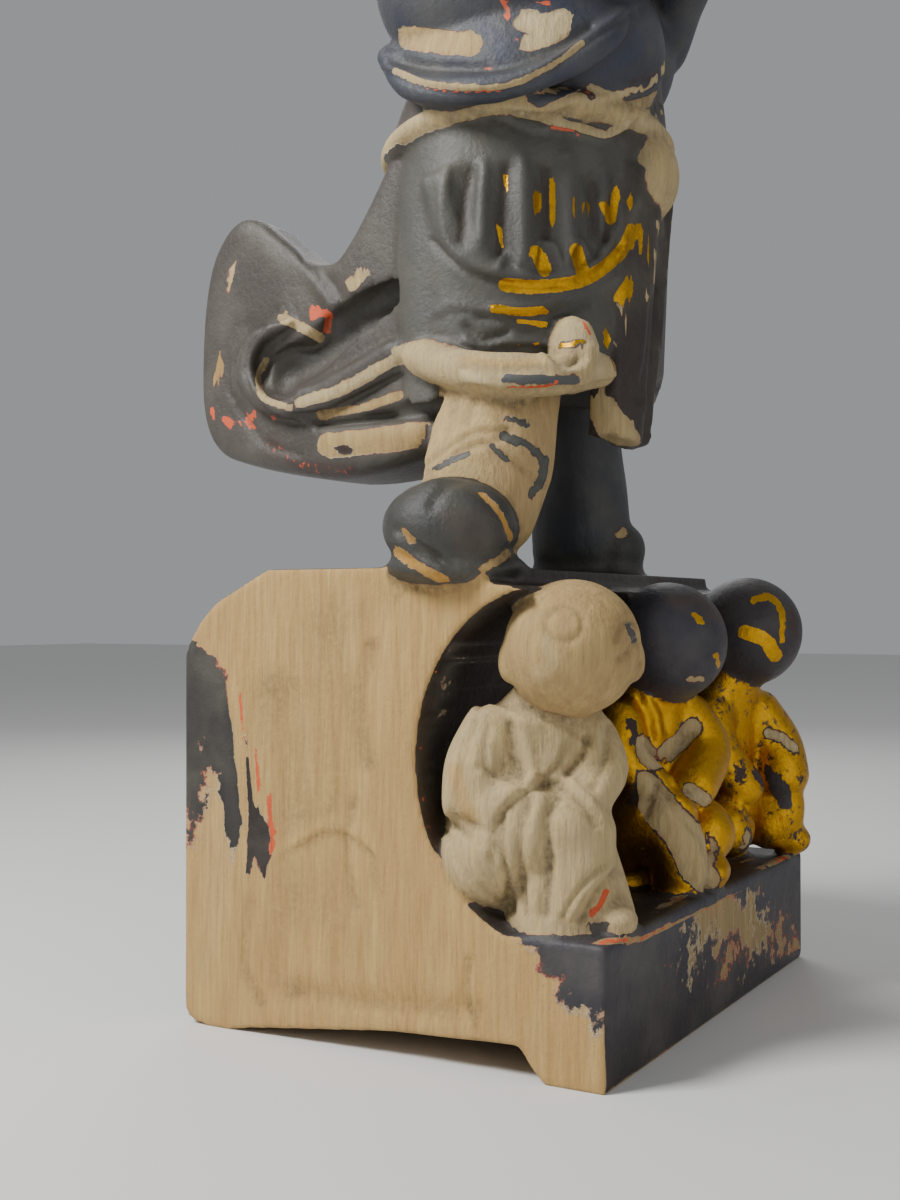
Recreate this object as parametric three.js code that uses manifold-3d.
// A lacquered and gilded wooden warrior, East Asian temple carving, cut with its plinth from one block of wood.
// The warrior stands astride on a tall plinth. The front of the plinth is hollowed to a ledge, on which three
// small figures sit in a row. A flying coat tail curls up behind the warrior's right side.
// Millimetres, +Z up. The warrior faces -Y, and its right side is -X. The origin is the middle of the underside.
import * as THREE from "three";
import { mergeVertices } from "three/addons/utils/BufferGeometryUtils.js";
import Module from "manifold-3d";

const wasm = await Module();
wasm.setup();

// Driving sizes
const PLINTH_WIDTH = 135;
const PLINTH_DEPTH = 107;
const PLINTH_HEIGHT = 105;
const LEDGE_HEIGHT = 29.5;
const BODY_HEIGHT = 231;
const SIDE = PLINTH_WIDTH / 2;
const FRONT = -PLINTH_DEPTH / 2;
const BACK = PLINTH_DEPTH / 2;
const TOP = PLINTH_HEIGHT;
const CROWN = PLINTH_HEIGHT + BODY_HEIGHT;

// Joining and cutting

function solidOf(geometry) {
  const bare = geometry.clone();
  bare.deleteAttribute("normal");
  bare.deleteAttribute("uv");
  const merged = mergeVertices(bare, 1e-4);
  return new wasm.Manifold(
    new wasm.Mesh({
      numProp: 3,
      vertProperties: new Float32Array(merged.attributes.position.array),
      triVerts: new Uint32Array(merged.index.array),
    }),
  );
}

function joined(geometries) {
  return geometries.map(solidOf).reduce((whole, piece) => whole.add(piece));
}

// The joined solid as three.js geometry. Only its outer skin is kept, so that no hollow is left sealed inside.
function geometryOf(solid) {
  const mesh = solid.getMesh();
  const skin = Array.from({ length: mesh.numVert }, (_, i) => i);
  const root = (i) => {
    while (skin[i] !== i) i = skin[i] = skin[skin[i]];
    return i;
  };
  const faces = [];
  for (let i = 0; i < mesh.numTri; i++) faces.push(mesh.triVerts.slice(i * 3, i * 3 + 3));
  for (const [a, b, c] of faces) {
    skin[root(a)] = root(b);
    skin[root(b)] = root(c);
  }
  const sizes = new Map();
  for (const [a] of faces) sizes.set(root(a), (sizes.get(root(a)) ?? 0) + 1);
  const outer = [...sizes].sort((m, n) => n[1] - m[1])[0][0];
  const places = faces
    .filter(([a]) => root(a) === outer)
    .flatMap((face) => [...face])
    .flatMap((i) => [...mesh.vertProperties.slice(i * mesh.numProp, i * mesh.numProp + 3)]);
  const geometry = new THREE.BufferGeometry();
  geometry.setAttribute("position", new THREE.Float32BufferAttribute(places, 3));
  return mergeVertices(geometry, 1e-5);
}

// Shaping

const vec = (p) => new THREE.Vector3(...p);
const mix = THREE.MathUtils.lerp;
const clamp = THREE.MathUtils.clamp;
const wave = (t) => Math.sin(Math.PI * t);
const rad = THREE.MathUtils.degToRad;

// Value at t, from 0 to 1, on a smooth line through evenly spaced values.
function along(values, t) {
  if (!Array.isArray(values)) return values;
  const place = clamp(t, 0, 1) * (values.length - 1);
  const i = Math.min(Math.floor(place), values.length - 2);
  const f = place - i;
  return mix(values[i], values[i + 1], f * f * (3 - 2 * f) * 0.5 + f * 0.5);
}

// Moves every vertex of a three.js shape to the place that a function gives for it.
function moved(geometry, place) {
  const position = geometry.attributes.position;
  const p = new THREE.Vector3();
  for (let i = 0; i < position.count; i++) {
    p.fromBufferAttribute(position, i);
    position.setXYZ(i, ...place(p.clone()).toArray());
  }
  return geometry;
}

// A rounded lump: an ellipsoid of three half sizes, turned about X, Y and Z in degrees.
function lump(centre, half, turn = [0, 0, 0], sides = 8) {
  return new THREE.SphereGeometry(1, sides, Math.round(sides * 0.6))
    .scale(...half)
    .rotateX(rad(turn[0]))
    .rotateY(rad(turn[1]))
    .rotateZ(rad(turn[2]))
    .translate(...centre);
}

// A round-ended limb, roll or cord along points. Radii are even along it; flat is thickness over width.
function limb(points, radii, { sides = 7, steps = 3, flat = 1, up = [0, 0, 1], cap = 1 } = {}) {
  const path = new THREE.CatmullRomCurve3(points.map(vec), false, "centripetal");
  return moved(new THREE.CapsuleGeometry(1, 1, cap, sides, steps), (p) => {
    const t = clamp(p.y + 0.5, 0, 1);
    const beyond = p.y - clamp(p.y, -0.5, 0.5);
    const radius = along(radii, t);
    const ahead = path.getTangent(t);
    const across = new THREE.Vector3().crossVectors(vec(up), ahead).normalize();
    const out = new THREE.Vector3().crossVectors(ahead, across);
    return path
      .getPoint(t)
      .addScaledVector(ahead, beyond * radius * 0.8)
      .addScaledVector(across, p.z * radius)
      .addScaledVector(out, p.x * radius * along(flat, t));
  });
}

// A trunk stacked on +Z: level is a list of [z, x, y, half width, half depth], square is how boxy its section is.
function trunk(levels, { sides = 20, rings = 8, square = 2 } = {}) {
  const column = (k) => levels.map((level) => level[k]);
  return moved(new THREE.CylinderGeometry(1, 1, 1, sides, rings), (p) => {
    const t = p.y + 0.5;
    const angle = Math.atan2(p.x, p.z);
    const reach = Math.hypot(p.x, p.z);
    const round = (value) => Math.sign(value) * Math.abs(value) ** (2 / square);
    return new THREE.Vector3(
      along(column(1), t) + reach * along(column(3), t) * round(Math.sin(angle)),
      along(column(2), t) - reach * along(column(4), t) * round(Math.cos(angle)),
      along(column(0), t),
    );
  });
}

// A thick panel along the sheet point(u, v). Seen from outside, u runs to the left and v runs down.
function panel(across, down, point, { outer = 1.5, inner = 1.5 } = {}) {
  const small = 1e-3;
  return moved(new THREE.BoxGeometry(1, 1, 1, across, down, 1), (p) => {
    const u = p.x + 0.5;
    const v = p.y + 0.5;
    const here = point(u, v);
    const alongU = point(u + small, v).sub(point(u - small, v));
    const alongV = point(u, v + small).sub(point(u, v - small));
    const out = alongU.cross(alongV).normalize();
    const rise = typeof outer === "function" ? outer(u, v) : outer;
    return here.addScaledVector(out, p.z > 0 ? rise : -inner);
  });
}

// A flat outline drawn in Y and Z, made a slab from x0 to x1.
function slab(outline, x0, x1, bevel = 0, curve = 6) {
  const block = new THREE.ExtrudeGeometry(outline, {
    depth: x1 - x0 - 2 * bevel,
    curveSegments: curve,
    bevelEnabled: bevel > 0,
    bevelThickness: bevel,
    bevelSize: bevel,
    bevelOffset: -bevel,
    bevelSegments: 1,
  });
  return moved(block, (p) => new THREE.Vector3(x0 + bevel + p.z, p.x, p.y));
}

// Plinth

const NICHE = { y: -40, z: 64, depth: 30.5, rise: 36.5 };
const RIM_FRONT = -26;
const RIM_THICKNESS = 3.2;
const CHAMFER_RUN = 23.5;
const CHAMFER_DROP = 20;
const FOOT_ROUND = 6;

// Side outline: flat underside, rounded and chamfered back, flat top, and a hollowed front over a ledge.
function plinthOutline() {
  const outline = new THREE.Shape();
  outline.moveTo(FRONT, 0);
  outline.lineTo(BACK - FOOT_ROUND, 0);
  outline.quadraticCurveTo(BACK, 0, BACK, FOOT_ROUND);
  outline.lineTo(BACK, TOP - CHAMFER_DROP);
  outline.quadraticCurveTo(BACK - 3, TOP - 12, BACK - 10, TOP - 7);
  outline.lineTo(BACK - CHAMFER_RUN, TOP);
  outline.lineTo(RIM_FRONT, TOP);
  outline.lineTo(RIM_FRONT, TOP - RIM_THICKNESS);
  const start = Math.asin((TOP - RIM_THICKNESS - 1.5 - NICHE.z) / NICHE.rise);
  outline.absellipse(NICHE.y, NICHE.z, NICHE.depth, NICHE.rise, start, -1.25, true);
  outline.lineTo(FRONT + 6, LEDGE_HEIGHT);
  outline.lineTo(FRONT, LEDGE_HEIGHT);
  return outline;
}

// The wood has rotted away under the warrior's right side, behind a rounded front foot.
const ROT = { rise: 7, inset: 24, front: -40, back: 44 };

function rotOutline() {
  const outline = new THREE.Shape();
  outline.moveTo(ROT.front - 1, -1);
  outline.quadraticCurveTo(ROT.front + 3, 2, ROT.front + 6, ROT.rise + 0.3);
  outline.lineTo(-6, ROT.rise - 1);
  outline.lineTo(34, 1.2);
  outline.lineTo(ROT.back, -1);
  return outline;
}

function plinth() {
  const block = solidOf(slab(plinthOutline(), -SIDE, SIDE));
  const rot = solidOf(
    moved(slab(rotOutline(), -SIDE - 1, -SIDE + ROT.inset), (p) => {
      const inside = clamp((p.x + SIDE) / ROT.inset, 0, 1);
      return new THREE.Vector3(p.x, p.y, Math.min(p.z, mix(p.z, 0.2, inside * 0.8)));
    }),
  );
  return block.subtract(rot);
}

// Seated figures, each shaped facing -Y at the origin, then turned towards the warrior's right on its seat.
// A torso row is [height, x, y, half width, half depth]. A limb is three points and two radii.

const SEATS = [
  {
    near: true,
    seat: [-50, -30.3],
    turn: 57,
    head: [6.1, -7.5, 88],
    torso: [
      [28, 1, 3, 11, 10],
      [40, -2, 2, 17, 12],
      [54, -2, 1, 17.5, 11.5],
      [70, 0, 0, 15, 9.5],
      [80, 3, -2, 8, 7],
    ],
    limbs: [
      [[-12, -3, 43], [-4, -8, 49], [6, -10.5, 51], 10, 9],
      [[6, -10, 50], [5, -9, 40], [4, -8, 31], 9, 11.5],
      [[9, -5, 50], [12, -8, 40], [14.5, -9, 31], 5, 5],
      [[-10.5, -2, 70], [-14, -4.5, 63], [-14.5, -5.5, 55], 6.5, 7],
      [[-14, -6, 55], [-9, -9.5, 55], [-3, -12, 57], 6, 4.5],
      [[11, -2, 69], [13.5, -5, 62], [10, -10, 57], 5.5, 4.5],
    ],
    lumps: [
      [[14, -13, 32], [5, 7, 3.2]],
      [[-12, -2, 43], [8, 9, 11]],
    ],
  },
  {
    seat: [0, -33],
    turn: 22,
    head: [1.4, -7.7, 88.2],
    torso: [
      [28, 0, 4, 14, 12],
      [44, 0, 3, 15, 12],
      [60, 0, 1, 14, 11],
      [71, 0, -1, 12.5, 9.5],
      [80, -1, -5, 7.5, 7],
    ],
    limbs: [
      [[-9, -2, 42], [-8, -9, 46], [-6, -15, 46.5], 9, 8.5],
      [[-6, -15, 45], [-4, -16, 39], [-3, -15, 33], 7.5, 6.5],
      [[8, -2, 41], [11, -8, 43], [11, -12, 41], 8.5, 7.5],
      [[-10.5, -4, 70], [-14, -7, 62], [-8, -13, 54], 6.5, 5],
      [[9.5, -6, 70], [12.5, -10, 62], [3, -14.5, 54], 6.5, 6],
    ],
    lumps: [
      [[-3, -17, 35.5], [5, 6, 6]],
      [[6.5, -15.5, 34], [6, 6, 4.8]],
    ],
  },
  {
    seat: [45, -35],
    turn: 15,
    head: [0.9, -11, 90.2],
    torso: [
      [28, 0, 4, 14, 12],
      [44, 0, 3, 15, 12],
      [60, 0, -1, 14, 10.5],
      [71, -1, -4, 12, 9],
      [81, -2, -9, 7.5, 7],
    ],
    limbs: [
      [[-8, -2, 40], [-9, -8, 40], [-8.5, -12, 38.5], 8.5, 7.6],
      [[9, -2, 40], [12, -8, 41], [12, -12, 38], 8.5, 7.5],
      [[-9, -6, 69], [-11, -9, 60], [-4, -13, 49], 6.5, 6],
      [[8, -9, 69], [13, -12, 60], [13, -14, 51], 6.5, 7.5],
      [[13, -14, 50], [14, -15, 43], [15, -14, 37], 5, 4.5],
    ],
    lumps: [
      [[12.5, -14.5, 60], [4, 4.6, 4.2]],
      [[17, -14, 34], [5, 6, 4.5]],
    ],
  },
];
const BOY_HEAD = [14.6, 14.4, 14.4];

// A boy with a big round head and a tuft of hair, in a crossed robe, knees drawn up on the ledge.
function seatedFigure({ seat, turn, head, torso, limbs, lumps, near }) {
  const [x, y, z] = head;
  const onHead = (dx, dy, dz, half) => lump([x + dx, y + dy, z + dz], half, [0, 0, 0], 6);
  const ears = [-13.6, 13.6].map((dx) => onHead(dx, 1, -3, [2.2, 3, 4.6]));
  const pieces = [
    trunk(torso, { sides: 9, rings: 3 }),
    lump(head, BOY_HEAD, [0, 0, 0], 10),
    onHead(0, -9, 10, [4, 3, 3]),
    ...(near ? [...ears, onHead(1, -13.6, -3.5, [2.2, 2.4, 2.4])] : []),
    ...limbs.map(([from, by, to, thick, thin]) =>
      limb([from, by, to], [thick, thin], { sides: 6, steps: 2, up: [1, 0.3, 0.2] }),
    ),
    ...lumps.map(([centre, half]) => lump(centre, half, [0, 0, 0], 7)),
  ];
  return pieces.map((piece) => piece.rotateZ(-rad(turn)).translate(seat[0], seat[1], 0));
}

// Legs and boots. The right boot juts over the side of the plinth.

function rightLeg() {
  return [
    limb([[-30, -12, 152], [-35, -12.5, 142], [-40, -13, 130], [-46, -13, 118]], [13.5, 13.9, 14.6, 13.4], {
      sides: 9,
      steps: 4,
      up: [0, 1, 0],
    }),
    limb([[-40, -4, 113.5], [-54, -10.5, 114], [-64, -16, 113.5]], [13, 15.2, 14], {
      sides: 10,
      cap: 3,
      flat: [1, 0.7, 0.74],
    }),
    limb([[-38, -5, 106], [-52, -11, 105.4], [-62, -16, 105]], [13.5, 15.6, 14.4], { sides: 9, flat: 0.28, cap: 2 }),
  ];
}

function leftLeg() {
  return [
    limb([[20, -5, 152], [23, -5, 138], [26, -5, 126], [27, -5, 115]], [13.5, 12.5, 13, 13.5], {
      sides: 8,
      up: [0, 1, 0],
    }),
    limb([[26, -2, 112.5], [28, -10, 112], [29, -15, 112]], [12.5, 11.5, 9], { sides: 9, flat: 0.85, cap: 2 }),
    limb([[26, -1, 106], [28, -9, 106], [29, -14, 106.5]], [12, 11.5, 9.5], { flat: 0.34 }),
  ];
}

// Skirt, thigh armour and coat

const SKIRT = { x: -6, y: -6, low: 148, high: 212 };
const SKIRT_WIDTH = [35, 38, 40, 40, 38.5];
const SKIRT_DEPTH = [23, 25.5, 27, 28.5, 30];

// A point out from the skirt. Turn is degrees from the front, plus towards the warrior's right side.
function onSkirt(turn, z, out = 0) {
  const t = (z - SKIRT.low) / (SKIRT.high - SKIRT.low);
  const a = rad(turn);
  return [
    SKIRT.x - (along(SKIRT_WIDTH, t) + out) * Math.sin(a),
    SKIRT.y - (along(SKIRT_DEPTH, t) + out) * Math.cos(a),
    z,
  ];
}

const RIB_TURNS = [74, 57, 40, 24];
const BORDER = { from: 92, to: 8, top: 193, drop: 25 };
const borderHeight = (t) => BORDER.top - BORDER.drop * wave(t) ** 0.6;

// Thigh armour: a curved plate with upright ribs inside a raised U-shaped border, and a second border below it.
function thighArmour(side, detailed) {
  const turned = (t, from, to) => side * mix(from, to, side > 0 ? 1 - t : t);
  const plate = panel(
    8,
    3,
    (u, v) => {
      const turn = turned(u, mix(118, 112, v), mix(-8, 22, v));
      const fromBack = clamp((118 - Math.abs(turn)) / 25, 0, 1);
      return vec(onSkirt(turn, mix(206, 153, v), (0.5 + 3 * v) * fromBack));
    },
    { outer: 1.6, inner: 5 },
  );
  const border = (widen, lower, radius) => {
    const points = [];
    for (let i = 0; i <= 8; i++) {
      const t = i / 8;
      const turn = mix(BORDER.from + widen, BORDER.to - widen, t);
      points.push(onSkirt(side * turn, borderHeight(t) - lower * wave(t), 3));
    }
    return limb(points, radius, { sides: 5, steps: 8 });
  };
  const ribs = RIB_TURNS.map((turn) => {
    const low = borderHeight((turn - BORDER.from) / (BORDER.to - BORDER.from)) + 2;
    const top = onSkirt(side * turn, BORDER.top + 1, 1.2);
    return limb([top, onSkirt(side * turn, low, 3)], 2.4, { sides: 5, steps: 1, up: [0, 1, 0] });
  });
  return detailed ? [plate, border(0, 0, 2.4), border(6, 7.5, 2), ...ribs] : [plate];
}

function skirtAndCoat() {
  const folds = (u) => 1.5 * Math.sin(u * Math.PI * 6);
  const skirt = SKIRT_WIDTH.map((width, i) => {
    const z = mix(SKIRT.low, SKIRT.high, i / (SKIRT_WIDTH.length - 1));
    return [z, SKIRT.x, SKIRT.y, width, SKIRT_DEPTH[i]];
  });
  return [
    trunk(skirt, { sides: 14, rings: 4 }),
    trunk(
      [
        [205, -4, -10, 36, 29],
        [218, -3, -10, 35, 28],
        [232, -2, -9, 34, 27],
        [246, -1, -6, 35, 28],
        [260, 0, -5, 35, 25],
        [272, 0, -4, 26, 18],
        [279, 0, -5, 14, 13],
      ],
      { sides: 14, rings: 5 },
    ),
    // Coat skirt at the back, flaring out to a point over the right hip
    panel(
      10,
      1,
      (u, v) => {
        const turn = mix(40, 290, u);
        const point = Math.exp(-(((turn - 128) / 18) ** 2));
        const low = 208 + 3 * Math.cos(u * 9) - 2 * point;
        return vec(onSkirt(turn, mix(230, low, v), mix(-6.5, -0.5 + 3.5 * point, v)));
      },
      { outer: 1.5, inner: 7 },
    ),
    // Robe at the back, falling in folds to the knees
    panel(
      8,
      1,
      (u, v) => vec(onSkirt(mix(98, 262, u), mix(212, 143, v), mix(-1, 4.5, v) + folds(u) * v)),
      { outer: 1.5, inner: 9 },
    ),
  ];
}

// Belt: a slack sash round the hips, higher at the front
function belt() {
  const path = (turn) => vec(onSkirt(turn, 208 + 3.5 * Math.cos(rad(turn)), 0.6));
  return moved(new THREE.TorusGeometry(1, 0.3, 6, 18), (p) => {
    const turn = THREE.MathUtils.radToDeg(-Math.atan2(p.y, p.x));
    const reach = (Math.hypot(p.x, p.y) - 1) / 0.3;
    const outward = path(turn - 1).sub(path(turn + 1)).cross(new THREE.Vector3(0, 0, 1)).normalize();
    return path(turn)
      .addScaledVector(outward, 3 * reach)
      .add(new THREE.Vector3(0, 0, (p.z / 0.3) * 4.4));
  });
}

// Knotted sash end and two hanging aprons at the front
function frontCloth() {
  return [
    lump([-4, -36.5, 200], [9, 8, 11], [0, 8, 20], 10),
    panel(
      5,
      3,
      (u, v) => {
        const x = mix(mix(9, -2, v), mix(-17, -20, v), u);
        const y = -38 + 2.5 * v + 1.6 * Math.sin(u * 8);
        return new THREE.Vector3(x, y, mix(200, 134.5 + 3 * Math.abs(u - 0.4), v));
      },
      { outer: 1.5, inner: 6 },
    ),
    panel(
      3,
      2,
      (u, v) => new THREE.Vector3(mix(26, 2, u), -37 + 9 * (1 - u) ** 2 + 2 * v, mix(200, 150 + 4 * wave(u), v)),
      { outer: 1, inner: 8 },
    ),
  ];
}

// Robe hem, turned up in a roll round each thigh
function robeHem() {
  const right = [
    [-30, 12, 158],
    [-43, 4, 155],
    [-49, -8, 150],
    [-49, -20, 147.5],
    [-43, -31, 147.5],
    [-30, -36, 150],
  ];
  const left = [[30, 8, 154], [35, -6, 149], [31, -18, 148], [18, -26, 150]];
  return [
    limb(right, [3.5, 4.5, 5, 4], { steps: 7 }),
    limb(left, [3.5, 4.5, 3.5], { sides: 6, steps: 4 }),
    lump([-35, -31, 153], [8, 5, 9], [0, 0, 40]),
  ];
}

// Flying coat tail: a thick sheet that swings back, curls up, and folds in on itself

const TAIL = { near: -39, far: -13 };

function tailOutline() {
  const outline = new THREE.Shape();
  outline.moveTo(0, 184);
  outline.lineTo(0, 133);
  outline.quadraticCurveTo(18, 127, 34, 128);
  outline.quadraticCurveTo(54, 130.5, 70, 135.5);
  outline.quadraticCurveTo(80, 140, 80.5, 154);
  outline.quadraticCurveTo(81, 180, 75, 189.5);
  outline.quadraticCurveTo(67.5, 200, 59.5, 196.5);
  outline.quadraticCurveTo(51, 189, 44, 184.5);
  outline.quadraticCurveTo(37, 180.5, 31, 182);
  outline.quadraticCurveTo(25, 187, 18.5, 197);
  outline.lineTo(14, 204);
  outline.lineTo(2, 204);
  return outline;
}

function coatTail() {
  const sheet = solidOf(
    moved(slab(tailOutline(), TAIL.near, TAIL.far, 4, 4), (p) => {
      const back = clamp((p.y - 20) / 60, 0, 1);
      const root = 1 - clamp(p.y / 34, 0, 1);
      const across = (p.x - (TAIL.near + TAIL.far) / 2) / 15;
      const flare = across < 0 ? 5 * across * root : 0;
      return new THREE.Vector3(p.x + 6 * back * back - across * 4 * back + flare, p.y, p.z);
    }),
  );
  const cut = (points, radii, options) => solidOf(limb(points, radii, { sides: 6, steps: 4, ...options }));
  const hollow = cut([[-38, 10, 171], [-38, 24, 166.5], [-38, 38, 159], [-37, 49, 155.5]], [4.5, 5, 5.6, 5.6]);
  const slit = cut([[-43, -4, 142.5], [-42, 20, 141.5], [-40, 42, 143.5]], [3, 2.6, 1], { sides: 5, steps: 2 });
  const farHollow = cut([[-6, 22, 168], [-6, 38, 160], [-4, 52, 156]], [4, 5.5, 5], { steps: 2 });
  const fold = limb(
    [
      [-38, 44, 167.5],
      [-37, 56, 164],
      [-36.5, 59, 155],
      [-37, 50, 147.5],
      [-38, 36, 147.5],
      [-40, 20, 152],
      [-42, 4, 158],
    ],
    [1, 2.4, 3, 3.2, 3.4, 3.6, 3.6],
    { sides: 5, steps: 9 },
  );
  return sheet.subtract(hollow).subtract(slit).subtract(farHollow).add(solidOf(fold).subtract(hollow));
}

// Arms bent forwards in wide hanging sleeves, with the fists together before the chest

const RIM_HEIGHTS = [226, 215, 210.5, 211, 216, 224, 233];

// A point on the right sleeve's open bell: t runs from its back round its side to its front.
function onSleeve(t, out) {
  const a = rad(mix(150, -25, t));
  return [-33 - (19 + out) * Math.sin(a), -12 - (28 + out) * Math.cos(a), along(RIM_HEIGHTS, t)];
}

function rightArm() {
  const rim = [0, 0.17, 0.33, 0.5, 0.67, 0.83, 1].map((t) => onSleeve(t, 0.5));
  const bell = panel(
    7,
    2,
    (u, v) => {
      const [x, y, z] = onSleeve(1 - u, -7 * (1 - v) ** 2);
      return new THREE.Vector3(x, y, mix(238, z, v));
    },
    { outer: 0.5, inner: 10 },
  );
  return [
    lump([-33, -4, 262], [15, 14, 13]),
    lump([-36, -9, 243], [19.5, 27, 24], [0, 0, 0], 10),
    bell,
    limb(rim, [3, 3.4, 3.4, 3], { sides: 5, steps: 7, up: [1, 0, 0] }),
    // The sleeve's lower lobe, hanging from the forearm
    lump([-18, -27, 228], [21, 16.5, 20], [0, 0, -20], 9),
    limb([[-30, -28, 244], [-18, -38, 248], [-9, -44, 251]], [12, 9, 7]),
  ];
}

function leftArm() {
  return [
    lump([32, -4, 262], [14, 13, 13]),
    limb([[36, -3, 260], [38, -4, 247], [32, -10, 238]], [12, 12.5, 13], { sides: 8, up: [0, 1, 0] }),
    lump([20, -20, 240], [19, 14, 19], [0, 0, 25]),
    limb([[26, -24, 246], [16, -36, 252], [8, -44, 256]], [12, 8.5, 7]),
  ];
}

function fists() {
  return [lump([-3, -46, 253], [8.5, 7, 8], [0, 0, 10]), lump([6, -45, 258], [7.5, 7.5, 8], [0, 0, -12])];
}

// Neck, head and helmet

const HEAD = { x: 0, y: -9, z: 300 };

function head() {
  const at = (x, y, z) => [HEAD.x + x, HEAD.y + y, HEAD.z + z];
  const ears = [-1, 1].map((side) => lump(at(side * 17.8, 1, -2), [2.8, 4.5, 8.5], [10, 0, 0], 6));
  return [
    limb([at(0, 4, -26), at(0, 3, -12)], [12, 11.5], { sides: 8, steps: 1 }),
    lump(at(0, 0, 0), [18, 19.5, 22], [0, 0, 0], 10),
    lump(at(0, -6.5, -11), [12, 10.5, 11]),
    limb([at(0, -17.5, 5), at(0, -20, -1), at(0, -21, -4)], [2, 2.6, 3.3], { sides: 6, steps: 2, up: [1, 0, 0] }),
    ...ears,
    // Helmet bowl, brow band, neck guard and finial
    trunk(
      [
        [HEAD.z + 8, 0, HEAD.y + 1, 20.6, 22],
        [HEAD.z + 15, 0, HEAD.y + 1, 20, 21],
        [HEAD.z + 23, 0, HEAD.y + 1.5, 15.5, 16],
        [HEAD.z + 29, 0, HEAD.y + 2, 7, 7],
      ],
      { sides: 11, rings: 3 },
    ),
    trunk(
      [
        [HEAD.z + 6.5, 0, HEAD.y + 1, 22, 23.4],
        [HEAD.z + 11.5, 0, HEAD.y + 1, 22, 23],
      ],
      { sides: 11, rings: 1 },
    ),
    panel(
      7,
      1,
      (u, v) => {
        const turn = rad(mix(262, 98, u));
        const reach = mix(20.5, 26, v * v);
        return vec(at(reach * Math.sin(turn), 1 - reach * Math.cos(turn), mix(9, -19, v)));
      },
      { outer: 1.2, inner: 4 },
    ),
    lump([0, HEAD.y + 2, CROWN - 4.4], [4, 4, 4.4]),
  ];
}

// Scarf round the neck, knotted at the front over a round breastplate
function collar() {
  const points = [];
  for (let i = 0; i <= 8; i++) {
    const turn = rad(mix(18, 342, i / 8));
    points.push([17 * Math.sin(turn), -6 - 15.5 * Math.cos(turn), 274 - 3.5 * Math.cos(turn)]);
  }
  return [
    limb(points, 5, { sides: 5, steps: 7 }),
    lump([0, -22.5, 269], [6.5, 4.5, 5]),
  ];
}

const carved = [
  plinth(),
  ...SEATS.map((seat) => joined(seatedFigure(seat))),
  joined([...rightLeg(), ...leftLeg()]),
  joined(skirtAndCoat()),
  joined([...thighArmour(1, true), ...thighArmour(-1, false)]),
  joined([belt(), ...frontCloth(), ...robeHem()]),
  coatTail(),
  joined([...rightArm(), ...leftArm(), ...fists()]),
  joined([...head(), ...collar()]),
];

const block = carved.reduce((whole, piece) => whole.add(piece));

const wood = new THREE.MeshStandardMaterial({ color: 0x6b5a45, roughness: 0.6, metalness: 0 });
const figure = new THREE.Mesh(geometryOf(block), wood);
figure.name = "warrior_on_plinth";

const part = new THREE.Group();
part.add(figure);

export default part;
